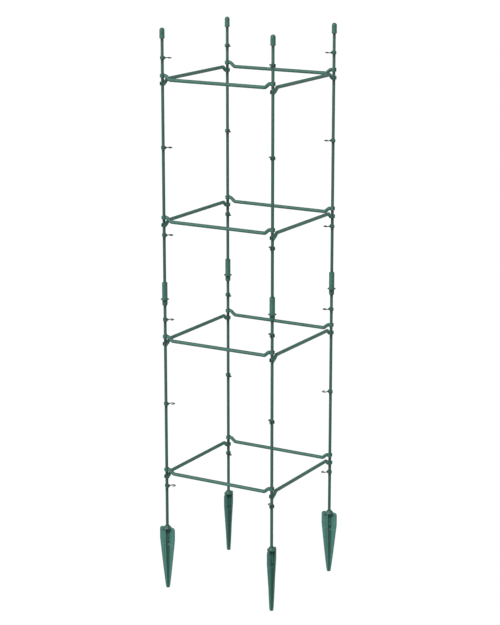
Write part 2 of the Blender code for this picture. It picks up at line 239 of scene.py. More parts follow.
coupler_profile = [
    (0.0, COUPLER_WEB_TOP),
    (GRIP_RADIUS, COUPLER_WEB_TOP),
    (GRIP_RADIUS, COUPLER_LENGTH),
    (COUPLER_UPPER - COUPLER_CHAMFER, COUPLER_LENGTH),
    (COUPLER_UPPER, COUPLER_LENGTH - COUPLER_CHAMFER),
    (COUPLER_UPPER, FLANGE_TOP),
    (FLANGE_RADIUS, FLANGE_TOP),
    (FLANGE_RADIUS, FLANGE_BASE),
    (COUPLER_LOWER, FLANGE_BASE),
    (COUPLER_LOWER, NOSE_HEIGHT),
    (NOSE_RADIUS, 0.0),
    (GRIP_RADIUS, 0.0),
    (GRIP_RADIUS, LOWER_BORE),
    (0.0, LOWER_BORE),
]
coupler_mesh = turned("coupler", softened(coupler_profile, MOULDED_EDGE), FLASH)

# %% [markdown]
# ## The cap
#
# The cap is a plain round head with a thicker rim, pushed over the end of the tube. Its dome is an arc
# that stops just short of the axis. The plastic was let into the mould there, and a small pit is left
# where the sprue was snapped off.

# %% Cap
CAP_RADIUS = 0.0066
CAP_RIM = 0.0069
CAP_RIM_CHAMFER = 0.0008
CAP_RIM_TOP = 0.0050
CAP_RIM_SLOPE = 0.0006
CAP_BORE = 0.0208
CAP_HEIGHT = CAP_BORE + CAP_RADIUS
DOME_BASE = CAP_HEIGHT - CAP_RADIUS
DOME_STEPS = 16
GATE_RADIUS = 0.0009
GATE_FLOOR_RADIUS = 0.00081
GATE_DEPTH = 0.0004

cap_profile = softened([
    (0.0, CAP_BORE),
    (GRIP_RADIUS, CAP_BORE),
    (GRIP_RADIUS, 0.0),
    (CAP_RIM - CAP_RIM_CHAMFER, 0.0),
    (CAP_RIM, CAP_RIM_CHAMFER),
    (CAP_RIM, CAP_RIM_TOP - CAP_RIM_SLOPE),
    (CAP_RADIUS, CAP_RIM_TOP),
    (CAP_RADIUS, DOME_BASE),
], MOULDED_EDGE)
dome = arc(CAP_RADIUS, 0.0, pi / 2 - GATE_RADIUS / CAP_RADIUS, DOME_STEPS)
cap_profile += [(p.x, DOME_BASE + p.y) for p in dome[1:]]
cap_profile += [(GATE_FLOOR_RADIUS, CAP_HEIGHT - GATE_DEPTH), (0.0, CAP_HEIGHT - GATE_DEPTH)]
cap_mesh = turned("cap", cap_profile, FLASH)

# %% [markdown]
# ## Swept pieces
#
# The clips, bars and hooks follow a bent line that lies in one plane. A curve object with a bevel could
# do this, but its section can't change shape on the way. So each point of the line gets its own ring,
# set square to the line. A rounded slab serves for the flat strips and, with full corners, for round
# wire, so that one can run into the other.

# %% Swept
CORNER_STEPS = 5
UP = Vector((0.0, 0.0, 1.0))
BACK = Vector((0.0, 1.0, 0.0))


def slab(width, height, corner, inset=0.0):
    """Rounded rectangle as (sideways, upwards) points, drawn in by the inset."""
    w = width / 2 - inset
    h = height / 2 - inset
    c = min(max(corner - inset, MERGE), w, h)
    loop = []
    for quarter, (side, up) in enumerate(((1, 1), (-1, 1), (-1, -1), (1, -1))):
        for i in range(CORNER_STEPS + 1):
            turn = pi / 2 * (quarter + i / CORNER_STEPS)
            loop.append((side * (w - c) + c * cos(turn), up * (h - c) + c * sin(turn)))
    return loop


def swept(path, sections, up):
    """Rings of the sections along a path that lies square to the up direction."""
    rings = []
    for i, (point, section) in enumerate(zip(path, sections)):
        along = (path[min(i + 1, len(path) - 1)] - path[max(i - 1, 0)]).normalized()
        side = up.cross(along)
        rings.append([point + side * u + up * v for u, v in section])
    return rings


def rounded_end(point, along, depth, steps=4):
    """Points past the end of a path, each with how far the section has drawn in."""
    ends = []
    for i in range(1, steps + 1):
        turn = pi / 2 * i / steps
        ends.append((point + along * depth * sin(turn), depth * (1 - cos(turn))))
    return ends


print("one rounded slab:", len(slab(2.0, 1.0, 0.2)), "points")

# %% [markdown]
# ## Clips
#
# A clip is a strip bent into a C round the stake, a hair wider than the tube. Its two lips turn
# outwards, so that it opens as it is pushed on. The middle line of the strip is drawn first: an arc,
# then a gentle turn outwards. The strip thins towards the lips and its ends are rounded.

# %% Clip
CLIP_WALL = 0.0023
CLIP_HEIGHT = 0.0096
CLIP_CORNER = 0.0007
CLIP_WRAP = radians(114)
CLIP_STEPS = 22
LIP_LENGTH = 0.0018
LIP_TURN = radians(46)
LIP_STEPS = 6
LIP_THINNING = 0.22
LIP_ROUND = 0.0006


def clip_rings(height):
    """Rings of a clip: one half from the back to the lip, and its mirror image before it."""
    middle = GRIP_RADIUS + CLIP_WALL / 2
    half = [(p, CLIP_WALL, 0.0) for p in arc(middle, 0.0, CLIP_WRAP, CLIP_STEPS)]
    point, heading = half[-1][0], CLIP_WRAP + pi / 2
    for i in range(1, LIP_STEPS + 1):
        heading -= LIP_TURN / LIP_STEPS
        point = point + polar(LIP_LENGTH / LIP_STEPS, heading)
        half.append((point, CLIP_WALL * (1 - LIP_THINNING * i / LIP_STEPS), 0.0))
    thin = half[-1][1]
    half += [(p, thin, inset) for p, inset in rounded_end(point, polar(1.0, heading), LIP_ROUND)]
    other = [(Vector((p.x, -p.y)), width, inset) for p, width, inset in reversed(half[1:])]
    whole = other + half
    path = [Vector((p.x, p.y, 0.0)) for p, width, inset in whole]
    sections = [slab(width, height, CLIP_CORNER, inset) for p, width, inset in whole]
    return swept(path, sections, UP)


print("one clip:", len(clip_rings(CLIP_HEIGHT)), "rings")

# %% [markdown]
# ## Joining pieces of one moulding
#
# A bar's rod and its clips are one moulding. A boolean union would join them exactly, but it leaves
# thin triangles and broken shading where round meets round. Here the end of the rod is drawn in so that
# it is buried in the clip's wall, and the parts then share one mesh.

# %% Joined
def joined(name, parts):
    """One mesh out of several (mesh, place) parts."""
    whole = bmesh.new()
    for mesh, place in parts:
        copy = mesh.copy()
        copy.transform(place)
        whole.from_mesh(copy)
        bpy.data.meshes.remove(copy)
    mesh = bpy.data.meshes.new(name)
    whole.to_mesh(mesh)
    whole.free()
    print(f"{name}: {len(mesh.polygons)} faces")
    return finished(mesh)


print("parts of one moulding share a mesh by", joined.__name__)

# %% [markdown]
# ## The bars
#
# A bar is a round rod that steps down at each end, so that bars from two sides can meet at one stake at
# the same level: one clips on above, the other below. It is drawn about its middle, because the middle
# of its solid's box is known, and as long as the stakes of the frame are apart. The mould opens
# upwards, so its line of flash runs along both flanks.

# %% Bar
left_edge, right_edge = [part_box("lower_stake_front_" + side)[0].x for side in ("left", "right")]
STAKE_SPACING = round(right_edge - left_edge, 6)
BAR_RADIUS = 0.00465
BAR_TURNS = 32
BAR_CRANK = 0.0100
BAR_START = 0.0054
CRANK_START = 0.0100
CRANK_END = 0.0220
BEND_CUT = 0.0022
BEND_STEPS = 8
ROOT_SQUEEZE = 0.72
ROOT_LENGTH = 0.0017


def rod_section(squeeze):
    """Round section with flash on both flanks, narrowed sideways by the squeeze."""
    foot = FLASH_HALF_WIDTH / BAR_RADIUS
    ring = moulded_circle(BAR_RADIUS, BAR_TURNS, BAR_TURNS // 4, FLASH, foot)
    return [(p.x, p.y * squeeze) for p in ring]


def make_bar():
    """Rod with a clip on each end, about the middle between two stakes."""
    half = STAKE_SPACING / 2
    near = [(-half + BAR_START, BAR_CRANK), (-half + CRANK_START, BAR_CRANK), (-half + CRANK_END, 0.0)]
    line = softened(near + [(-x, z) for x, z in reversed(near)], BEND_CUT, BEND_STEPS)
    root = Vector((ROOT_LENGTH, 0.0))
    line = [line[0], line[0] + root, *line[1:-1], line[-1] - root, line[-1]]
    squeezes = [ROOT_SQUEEZE] + [1.0] * (len(line) - 2) + [ROOT_SQUEEZE]
    path = [Vector((p.x, 0.0, p.y)) for p in line]
    rod = skin("bar_rod", swept(path, [rod_section(squeeze) for squeeze in squeezes], BACK))
    clip = skin("bar_clip", clip_rings(CLIP_HEIGHT))
    return joined("bar", [
        (rod, Matrix.Identity(4)),
        (clip, Matrix.Translation((-half, 0.0, BAR_CRANK))),
        (clip, Matrix.Translation((half, 0.0, BAR_CRANK)) @ Matrix.Rotation(pi, 4, "Z")),
    ])


bar_mesh = make_bar()
print("the stakes are", STAKE_SPACING, "m apart")

# %% [markdown]
# ## The hooks
#
# A hook is a small clip with an arm that runs out into an open loop for a stem or a tie. The root of
# the arm is a tall web that tapers to round wire. Its middle line is a smooth curve through a few
# points, with one section that changes from web to wire on the way, and a round end. The arm's faces
# are marked as a second part of the mesh, so that they can wear a deeper finish than the clip: painted
# shade that makes the thin arm nearly black, though it is the same green moulding.

# %% Hook
HOOK_HEIGHT = 0.0085
WIRE = 0.0025
ROOT_THICKNESS = 0.0028
ROOT_HEIGHT = 0.0069
ROOT_CORNER = 0.00095
ROOT_START = 0.0052
ROOT_MIDDLE = 0.0074
ROOT_END = 0.0098
NECK = Vector((0.0097, 0.0003))
LOOP_CENTRE = Vector((0.0166, -0.0015))
LOOP_RADIUS = 0.0058
LOOP_START = radians(130)
LOOP_END = radians(-115)
LOOP_POINTS = 9
CURVE_STEPS = 5
END_STEPS = 6


def smooth_line(points, steps):
    """Catmull-Rom curve through the points."""
    ends = [points[0] * 2 - points[1]] + points + [points[-1] * 2 - points[-2]]
    line = []
    for a, b, c, d in zip(ends, ends[1:], ends[2:], ends[3:]):
        for i in range(steps):
            t = i / steps
            line.append(0.5 * (2 * b + (c - a) * t + (2 * a - 5 * b + 4 * c - d) * t * t
                               + (3 * b - a - 3 * c + d) * t * t * t))
    return line + [points[-1]]


def arm_section(x):
    """The web's section at the root, the wire's past the root, and a blend of both in between."""
    share = min(max((ROOT_END - x) / (ROOT_END - ROOT_START), 0.0), 1.0)
    pairs = ((WIRE, ROOT_THICKNESS), (WIRE, ROOT_HEIGHT), (WIRE / 2, ROOT_CORNER))
    return slab(*(wire + (root - wire) * share for wire, root in pairs))


def make_hook():
    """Clip about the stake's axis, with its arm on one side."""
    guide = [Vector((ROOT_START, 0.0)), Vector((ROOT_MIDDLE, 0.0)), NECK]
    guide += [LOOP_CENTRE + p for p in arc(LOOP_RADIUS, LOOP_START, LOOP_END, LOOP_POINTS)]
    path = [Vector((p.x, p.y, 0.0)) for p in smooth_line(guide, CURVE_STEPS)]
    sections = [arm_section(p.x) for p in path]
    along = (path[-1] - path[-2]).normalized()
    for point, inset in rounded_end(path[-1], along, WIRE / 2 - MERGE, END_STEPS):
        path.append(point)
        sections.append(slab(WIRE, WIRE, WIRE / 2, inset))
    arm = skin("hook_arm", swept(path, sections, UP))
    for face in arm.polygons:
        face.material_index = 1
    clip = skin("hook_clip", clip_rings(HOOK_HEIGHT))
    return joined("hook", [(clip, Matrix.Identity(4)), (arm, Matrix.Identity(4))])


hook_mesh = make_hook()

# %% [markdown]
# ## The ground spikes
#
# A spike is a long blade crossed by a narrower rib. Low down the corners between them are filled to a
# hollow-sided star, which is stiff and slips into soil. Higher up they open into four thin fins, with a
# round socket in the middle and a collar on top. One quarter of the section is drawn and mirrored: a
# rounded fin edge, then a curve that can be a small root fillet or the side of the star, then the
# other fin's edge.

# %% Spike section
BLADE_WIDTH = 0.04618
RIB_WIDTH = 0.024
TIP_WIDTH = 0.0105
FIN_THICKNESS = 0.0034
FIN_EDGE = 0.0009
FIN_EDGE_STEPS = 3
FIN_HEIGHT = 0.172
TAPER_HEIGHT = 0.138
BLADE_POWER = 0.90
RIB_POWER = 0.72
SHOULDER = 0.0075
RIB_SHOULDER = 0.0050
ROOT_FILLET = 0.0013
HOLLOW_STEPS = 10


def half_width(height, width, power, shoulder):
    """Half of a fin's width, which grows along the taper and is drawn in over the shoulder."""
    share = min(height / TAPER_HEIGHT, 1.0) ** power
    above = max(height - (FIN_HEIGHT - SHOULDER), 0.0) / SHOULDER
    drawn_in = shoulder * (1 - sqrt(max(1 - above ** 2, 0.0)))
    return (TIP_WIDTH + (width - TIP_WIDTH) * share) / 2 - drawn_in


def spike_ring(height, blade, rib, fill, thin=0.0):
    """Section of the spike, from four fins without a fill to a star with a full one."""
    half = FIN_THICKNESS / 2 - thin
    edge = arc(FIN_EDGE, 0.0, pi / 2, FIN_EDGE_STEPS)
    reach = ROOT_FILLET + (blade - FIN_EDGE - half - ROOT_FILLET) * fill
    rise = ROOT_FILLET + (rib - FIN_EDGE - half - ROOT_FILLET) * fill
    quarter = [(blade - FIN_EDGE + p.x, half - FIN_EDGE + p.y) for p in edge]
    for i in range(HOLLOW_STEPS + 1):
        turn = pi / 2 * i / HOLLOW_STEPS
        quarter.append((half + reach * (1 - sin(turn)), half + rise * (1 - cos(turn))))
    quarter += [(half - FIN_EDGE + p.x, rib - FIN_EDGE + p.y) for p in edge]
    back = quarter[::-1]
    quarters = ((1, 1, quarter), (-1, 1, back), (-1, -1, quarter), (1, -1, back))
    return [(side * x, end * y, height) for side, end, line in quarters for x, y in line]


print("one ring of the spike:", len(spike_ring(0.0, 0.02, 0.01, 1.0)), "points")

# %% [markdown]
# ## A spike from tip to shoulders
#
# The rings climb from a rounded tip, along the taper, past the height where the star opens, and over
# the rounded shoulders. Near the top they thin a little too, which breaks the fins' top edges.

# %% Spike rings
WEB_TOP = 0.1215
WEB_RUNOUT = 0.0085
STAR_STEPS = 26
OPENING_STEPS = 6
FIN_LEVELS = (0.134, TAPER_HEIGHT, 0.146, 0.155)
SHOULDER_STEPS = 12
TIP_ROUND = 0.0022
TIP_STEPS = 5
TOP_ROUND = 0.0006


def tip_rings():
    """Rings round the blunt tip, which is drawn in by half of its height."""
    rings = []
    for i in range(TIP_STEPS):
        turn = pi / 2 * i / TIP_STEPS
        half = TIP_WIDTH / 2 - TIP_ROUND / 2 * (1 - sin(turn))
        rings.append(spike_ring(TIP_ROUND * (1 - cos(turn)), half, half, 1.0))
    return rings


def spike_rings():
    """All rings from the tip to the top of the fins."""
    heights = [TIP_ROUND + (WEB_TOP - TIP_ROUND) * i / STAR_STEPS for i in range(STAR_STEPS + 1)]
    heights += [WEB_TOP + WEB_RUNOUT * i / OPENING_STEPS for i in range(1, OPENING_STEPS + 1)]
    heights += FIN_LEVELS
    heights += [FIN_HEIGHT - SHOULDER * (1 - sin(pi / 2 * i / SHOULDER_STEPS))
                for i in range(SHOULDER_STEPS + 1)]
    rings = tip_rings()
    for height in heights:
        blade = half_width(height, BLADE_WIDTH, BLADE_POWER, SHOULDER)
        rib = half_width(height, RIB_WIDTH, RIB_POWER, RIB_SHOULDER)
        opened = min(max((height - WEB_TOP) / WEB_RUNOUT, 0.0), 1.0)
        fill = 1 - opened ** 2 * (3 - 2 * opened)
        above = min(max(height - (FIN_HEIGHT - TOP_ROUND), 0.0) / TOP_ROUND, 1.0)
        thin = TOP_ROUND * (1 - sqrt(1 - above ** 2))
        rings.append(spike_ring(height, blade, rib, fill, thin))
    return rings


print("the spike:", len(spike_rings()), "rings from the tip to the shoulders")

# %% [markdown]
# ## Uniting and cutting
#
# The spike is the one piece that is put together with booleans, because the socket has to be one with
# the blades, and the holes have to run through both. A hole is cut by a round rod from one point to
# another. The exact solver is used, which is slower but made for faces that touch.
#
# One fault is left. The second cross hole, which is cut last, has no wall inside, although both of its
# mouths are open. It shows as edges with only one face, so the finished mesh isn't closed there.

# %% Booleans and cutters
CUTTER_SIDES = 24


def boolean(base, tool, operation):
    """The base mesh united with the tool mesh, or cut by it."""
    objects = [bpy.data.objects.new("work", mesh) for mesh in (base, tool)]
    for work in objects:
        bpy.context.scene.collection.objects.link(work)
    cut = objects[0].modifiers.new("cut", "BOOLEAN")
    cut.operation = operation
    cut.solver = "EXACT"
    cut.object = objects[1]
    graph = bpy.context.evaluated_depsgraph_get()
    result = bpy.data.meshes.new_from_object(objects[0].evaluated_get(graph))
    for work in objects:
        bpy.data.objects.remove(work)
    return result


def rod_between(start, end, radius):
    """Round cutter from one point to another."""
    start, end = Vector(start), Vector(end)
    turn = (end - start).to_track_quat("Z", "Y").to_matrix()
    circle = [polar(radius, 2 * pi * i / CUTTER_SIDES) for i in range(CUTTER_SIDES)]
    return skin("cutter", [[point + turn @ Vector((*p, 0.0)) for p in circle] for point in (start, end)])


print("a cutter has", CUTTER_SIDES, "sides")

# %% [markdown]
# ## Socket and drain
#
# The tube stands in a round socket. Its collar overhangs the fins and leaves four small dark pockets
# below. Water that gets in leaves by a drain hole into two cross holes under the socket's floor. The
# sloping top of the collar is marked, because it wears a deeper finish: painted shade that keeps this
# lit top no lighter than the fins.

# %% Spike
MOUTH_RISE = 0.0055
SPIKE_HEIGHT = FIN_HEIGHT + MOUTH_RISE
MOUTH_RADIUS = 0.0052
SOCKET_RADIUS = 0.0064
SOCKET_DEPTH = 0.0427
SOCKET_FLOOR = SPIKE_HEIGHT - SOCKET_DEPTH
COLLAR_RADIUS = 0.0120
COLLAR_DROP = 0.0035
COLLAR_BASE = FIN_HEIGHT - COLLAR_DROP
COLLAR_EDGE = 0.0012
ROOF_SLOPE = 0.3
DRAIN_RADIUS = 0.0021
DRAIN_DROP = 0.0034
DRAIN_HEIGHT = SOCKET_FLOOR - DRAIN_DROP
CROSS_HOLE_REACH = 0.0128
CROSS_HOLE_ANGLES = (radians(45), radians(135))
CUT_PAST_MOUTH = 0.01
CUT_PAST_FLOOR = 0.001


def make_socket():
    """Round post with the collar. Its bore is cut later."""
    return turned("socket", softened([
        (0.0, SPIKE_HEIGHT),
        (MOUTH_RADIUS, SPIKE_HEIGHT),
        (COLLAR_RADIUS, COLLAR_BASE + COLLAR_EDGE),
        (COLLAR_RADIUS, COLLAR_BASE),
        (SOCKET_RADIUS, COLLAR_BASE),
        (SOCKET_RADIUS, WEB_TOP),
        (0.0, WEB_TOP),
    ], MOULDED_EDGE))


def make_cutters():
    """The bore for the tube, the drain in its floor and two cross holes below."""
    cutters = [
        rod_between((0, 0, SOCKET_FLOOR), (0, 0, SPIKE_HEIGHT + CUT_PAST_MOUTH), GRIP_RADIUS),
        rod_between((0, 0, DRAIN_HEIGHT), (0, 0, SOCKET_FLOOR + CUT_PAST_FLOOR), DRAIN_RADIUS),
    ]
    for angle in CROSS_HOLE_ANGLES:
        x, y = polar(CROSS_HOLE_REACH, angle)
        cutters.append(rod_between((-x, -y, DRAIN_HEIGHT), (x, y, DRAIN_HEIGHT), DRAIN_RADIUS))
    return cutters


def make_spike():
    """Blades and socket in one, bored, with the collar's top marked for its painted shade."""
    spike = boolean(skin("blades", spike_rings()), make_socket(), "UNION")
    for cutter in make_cutters():
        spike = boolean(spike, cutter, "DIFFERENCE")
    spike.name = "spike"
    # The collar's sloping top takes the second, deeper finish as painted shade.
    for face in spike.polygons:
        on_collar = face.center.z > COLLAR_BASE and face.center.xy.length < COLLAR_RADIUS
        face.material_index = 1 if on_collar and face.normal.z > ROOF_SLOPE else 0
    return finished(spike)


spike_mesh = make_spike()
print("spike:", len(spike_mesh.polygons), "faces")

# %% [markdown]
# ## Shader maths as Python
#
# A finish is a graph of nodes. Clicking or typing each node makes sums hard to read, so one small class
# wraps a socket and turns Python's own signs into Math nodes. All other nodes come from one method of
# the graph, which sets a node's options first and its sockets after, with a value or with another
# wrapped socket. The world is such a graph too. A finish is a graph that belongs to a material.

# %% Signal, Graph and Finish
class Signal:
    """A node's output that can be used in sums."""

    def __init__(self, graph, socket):
        self.graph = graph
        self.socket = socket

    def maths(self, operation, first, second):
        """Signal of a Math node."""
        return self.graph.node("ShaderNodeMath", {"operation": operation}, {0: first, 1: second})

    def __add__(self, other):
        return self.maths("ADD", self, other)

    def __sub__(self, other):
        return self.maths("SUBTRACT", self, other)

    def __mul__(self, other):
        return self.maths("MULTIPLY", self, other)

    def __pow__(self, other):
        return self.maths("POWER", self, other)

    __radd__ = __add__


class Graph:
    """A tree of nodes with one method that adds any node."""

    def __init__(self, tree):
        self.tree = tree

    def feed(self, node, sockets):
        """Gives a node's sockets their values, or links them to signals."""
        for key, value in sockets.items():
            if isinstance(value, Signal):
                self.tree.links.new(value.socket, node.inputs[key])
            else:
                node.inputs[key].default_value = value

    def node(self, kind, settings=None, sockets=None, output=0):
        """Adds a node and gives the signal of one of its outputs."""
        node = self.tree.nodes.new(kind)
        for key, value in (settings or {}).items():
            setattr(node, key, value)
        self.feed(node, sockets or {})
        return Signal(self, node.outputs[output])


class Finish(Graph):
    """A material's graph with its surface shader."""

    def __init__(self, name):
        self.material = bpy.data.materials.new(name)
        self.material.use_nodes = True
        super().__init__(self.material.node_tree)
        self.shader = self.tree.nodes["Principled BSDF"]


print("a sum of signals is made by", Signal.maths.__name__, "and any other node by", Graph.node.__name__)

# %% [markdown]
# ## Patterns in real millimetres
#
# Every pattern is made from the piece's own coordinates in millimetres, so its grain has a real size
# and stays on the piece when it moves. All bars share one mesh, so each object's random number shifts
# the pattern, and no two pieces look stamped from one another.

# %% Patterns
PATTERN_SHIFTS = (310.0, 170.0, 730.0)
NOISE_ROUGHNESS = 0.55


def millimetres(finish, stretch=(1.0, 1.0, 1.0)):
    """The surface point in millimetres, stretched, and shifted for each piece."""
    own = finish.node("ShaderNodeTexCoord", output="Object")
    scale = [1000.0 * s for s in stretch]
    sized = finish.node("ShaderNodeVectorMath", {"operation": "MULTIPLY"}, {0: own, 1: scale})
    chance = finish.node("ShaderNodeObjectInfo", output="Random")
    shifts = {axis: chance * most for axis, most in enumerate(PATTERN_SHIFTS)}
    shift = finish.node("ShaderNodeCombineXYZ", sockets=shifts)
    return finish.node("ShaderNodeVectorMath", {"operation": "ADD"}, {0: sized, 1: shift})


def noise(finish, size, detail=2.0, stretch=(1.0, 1.0, 1.0)):
    """Cloudy pattern from 0 to 1 whose lumps are about this many millimetres wide."""
    return finish.node("ShaderNodeTexNoise", {"noise_dimensions": "3D"}, {
        "Vector": millimetres(finish, stretch), "Scale": 1.0 / size, "Detail": detail,
        "Roughness": NOISE_ROUGHNESS}, "Fac")


def between(graph, mask, first, second):
    """Colour that goes from the first to the second as the mask goes from 0 to 1."""
    first, second = [c if isinstance(c, Signal) else (*c, 1.0) for c in (first, second)]
    return graph.node("ShaderNodeMix", {"data_type": "RGBA"}, {0: mask, 6: first, 7: second}, 2)


def mixed(first, second, share):
    """Two patterns in one, with this share of the second."""
    return first * (1 - share) + second * share


def bumped(finish, height, distance):
    """Normal for relief that rises by this many metres."""
    return finish.node("ShaderNodeBump", sockets={"Height": height, "Distance": distance})


print("each piece shifts its patterns by up to", max(PATTERN_SHIFTS), "mm")

# %% [markdown]
# ## Painted shade where pieces crowd
#
# The green lies in deep shade, nearly black, where a clip, a flange or a collar hangs over something.
# Lamps alone leave such narrow gaps too light, so this shade is painted into the colour. A mask fixed
# on the pieces would not follow a hook that slides or swivels. So an Ambient Occlusion node measures
# how open each point is within one or two centimetres, and the colour is drawn towards a shade green
# where it is closed in. Looking only upwards gives the painted shadow on a tube under a clip, and none
# on the side where the clip is open.

# %% Painted shade in corners
OPENNESS_SAMPLES = 16


def with_painted_shade(finish, colour, shade_colour, reach, least, most, from_above=False):
    """The colour with painted shade in corners, or only where something is overhead."""
    sockets = {"Distance": reach}
    if from_above:
        sockets["Normal"] = finish.node("ShaderNodeCombineXYZ", sockets={2: 1.0})
    openness = finish.node("ShaderNodeAmbientOcclusion", {"samples": OPENNESS_SAMPLES}, sockets, "AO")
    share = finish.node("ShaderNodeMapRange", sockets={
        "Value": openness, "From Min": least, "From Max": most})
    return between(finish, share, shade_colour, colour)


print("openness is measured with", OPENNESS_SAMPLES, "samples")

# %% [markdown]
# ## Coated tube
#
# The plastic on a coated tube is drawn over it in the length. It is satin and even, with faint long
# streaks, the slight orange peel of a skin that cooled on metal, and a cloudiness in the green that is
# only seen close to. The streaks are the same noise, stretched along the tube. It is a little deeper
# than the moulded plastic. Just under whatever hangs over it, a painted shadow takes it nearly black.

# %% Coated tube
TUBE_DARK = (0.030, 0.100, 0.079)
TUBE_LIGHT = (0.037, 0.123, 0.097)
TUBE_SHADOW_GREEN = (0.004, 0.022, 0.018)
TUBE_GLOSS = 0.28
TUBE_ROUGHNESS = 0.30
STREAK_ROUGHNESS = 0.10
PEEL_ROUGHNESS = 0.06
STREAK_SHARE = 0.3
PEEL_DEPTH = 0.00006


def make_coated_tube():
    """Satin finish with streaks along the tube, and painted shadow under what hangs over it."""
    finish = Finish("coated_tube")
    cloud = noise(finish, size=26.0, detail=3.0, stretch=(1.0, 1.0, 0.35))
    streak = noise(finish, size=0.9, stretch=(1.0, 1.0, 0.02))
    peel = noise(finish, size=1.1)
    colour = between(finish, mixed(cloud, streak, STREAK_SHARE), TUBE_DARK, TUBE_LIGHT)
    # Painted shadow: just under whatever hangs over the tube, the colour is drawn nearly black.
    colour = with_painted_shade(finish, colour, TUBE_SHADOW_GREEN, reach=0.018, least=0.32, most=0.485, from_above=True)
    finish.feed(finish.shader, {
        "Base Color": colour,
        "Roughness": TUBE_ROUGHNESS + streak * STREAK_ROUGHNESS + peel * PEEL_ROUGHNESS,
        "Normal": bumped(finish, mixed(peel, streak, STREAK_SHARE), PEEL_DEPTH),
        "Metallic": 0.0,
        "Specular IOR Level": TUBE_GLOSS,
    })
    return finish.material


coated_tube = make_coated_tube()
print(coated_tube.name, len(coated_tube.node_tree.nodes), "nodes")

# %% [markdown]
# ## Painted shade on mouldings
#
# A bar or a hook gets painted shade in all its corners: its colour is drawn towards a shade green.
# Couplers and caps are upright, so their painted shade lies under their rims only.
#
# A spike's painted shade is deepest along the bottom of its star's hollows. Their walls are too open
# for the corner measure, so the distance from the axis is compared with that of the hollow's bottom at
# each height. Between the fins, further up, the painted shade comes from the collar overhead.

# %% Shade
SHADE_GREEN = (0.006, 0.030, 0.024)
HOLLOW_SHADE_GREEN = (0.022, 0.076, 0.061)
HOLLOW_TIP = 0.0035
HOLLOW_GROWTH = 0.0048
HOLLOW_POWER = 0.85
HOLLOW_SPREAD = 0.36


def shade_in_corners(finish, colour):
    """Painted shade wherever the surface is closed in."""
    return with_painted_shade(finish, colour, SHADE_GREEN, reach=0.007, least=0.55, most=0.95)


def shade_under_rims(finish, colour):
    """Painted shade only where something hangs over the surface."""
    return with_painted_shade(finish, colour, SHADE_GREEN, reach=0.014, least=0.30, most=0.48, from_above=True)


def shade_in_spike_corners(finish, colour):
    """Painted shade at the bottom of the star's hollows, and under the collar between the fins."""
    own = finish.node("ShaderNodeTexCoord", output="Object")
    height = finish.node("ShaderNodeSeparateXYZ", sockets={0: own}, output=2)
    opened = finish.node("ShaderNodeMapRange", sockets={
        "Value": height, "From Min": WEB_TOP, "From Max": WEB_TOP + WEB_RUNOUT})
    flat = finish.node("ShaderNodeVectorMath", {"operation": "MULTIPLY"}, {0: own, 1: (1.0, 1.0, 0.0)})
    reach = finish.node("ShaderNodeVectorMath", {"operation": "LENGTH"}, {0: flat}, 1)
    # Painted shade: the colour goes darker near the bottom of each hollow.
    bottom = HOLLOW_TIP + (height * (1 / WEB_TOP)) ** HOLLOW_POWER * HOLLOW_GROWTH
    rise = finish.node("ShaderNodeMapRange", sockets={
        "Value": reach - bottom, "From Max": bottom * HOLLOW_SPREAD})
    star = between(finish, rise, HOLLOW_SHADE_GREEN, colour)
    return between(finish, opened, star, shade_under_rims(finish, colour))


print("a hollow's bottom is", HOLLOW_TIP, "to", round(HOLLOW_TIP + HOLLOW_GROWTH, 4), "m from the axis")

# %% [markdown]
# ## Moulded plastic
#
# The clips, bars, hooks, caps, couplers and spikes are moulded in a spark-eroded mould. Its fine matt
# grain is about a third of a millimetre wide. Melt that flowed and cooled unevenly leaves soft lighter
# clouds and smoother patches. There is no wear, because the tower is new. The spikes are a lighter
# green and the hooks a deeper one. The hooks' thin arms are painted nearly black as shade, and each
# finish paints shade in its corners or under its rims. One recipe makes them all.

# %% Moulded plastic
MOULDED_GLOSS = 0.24
MOULDED_ROUGHNESS = 0.38
PATCH_ROUGHNESS = 0.12
GRAIN_ROUGHNESS = 0.06
GRAIN_SHARE = 0.25
PATCH_RELIEF = 0.8
GRAIN_DEPTH = 0.00004


def make_moulded_plastic(name, dark, light, corners=shade_in_corners):
    """Grainy finish between a dark and a light green, with painted shade in its corners."""
    finish = Finish(name)
    cloud = noise(finish, size=17.0, detail=4.0)
    patch = noise(finish, size=5.0, detail=3.0)
    grain = noise(finish, size=0.32)
    colour = between(finish, mixed(cloud, grain, GRAIN_SHARE), dark, light)
    finish.feed(finish.shader, {
        "Base Color": corners(finish, colour),
        "Roughness": MOULDED_ROUGHNESS + patch * PATCH_ROUGHNESS + grain * GRAIN_ROUGHNESS,
        "Normal": bumped(finish, grain + patch * PATCH_RELIEF, GRAIN_DEPTH),
        "Metallic": 0.0,
        "Specular IOR Level": MOULDED_GLOSS,
    })
    print(name, len(finish.tree.nodes), "nodes")
    return finish.material


moulded_plastic = make_moulded_plastic(
    "moulded_plastic", dark=(0.037, 0.124, 0.098), light=(0.047, 0.156, 0.122))
turned_plastic = make_moulded_plastic(
    "turned_plastic", dark=(0.038, 0.127, 0.101), light=(0.048, 0.159, 0.125), corners=shade_under_rims)
spike_plastic = make_moulded_plastic(
    "spike_plastic", dark=(0.054, 0.170, 0.135), light=(0.067, 0.208, 0.167), corners=shade_in_spike_corners)
hook_plastic_and_roof_shade = make_moulded_plastic(
    "hook_plastic_and_roof_shade", dark=(0.030, 0.102, 0.081), light=(0.037, 0.124, 0.098))
# Painted shade: the arm is the same green moulding as its clip, painted nearly black.
arm_shade_plastic = make_moulded_plastic(
    "arm_shade_plastic", dark=(0.007, 0.030, 0.024), light=(0.010, 0.040, 0.032))

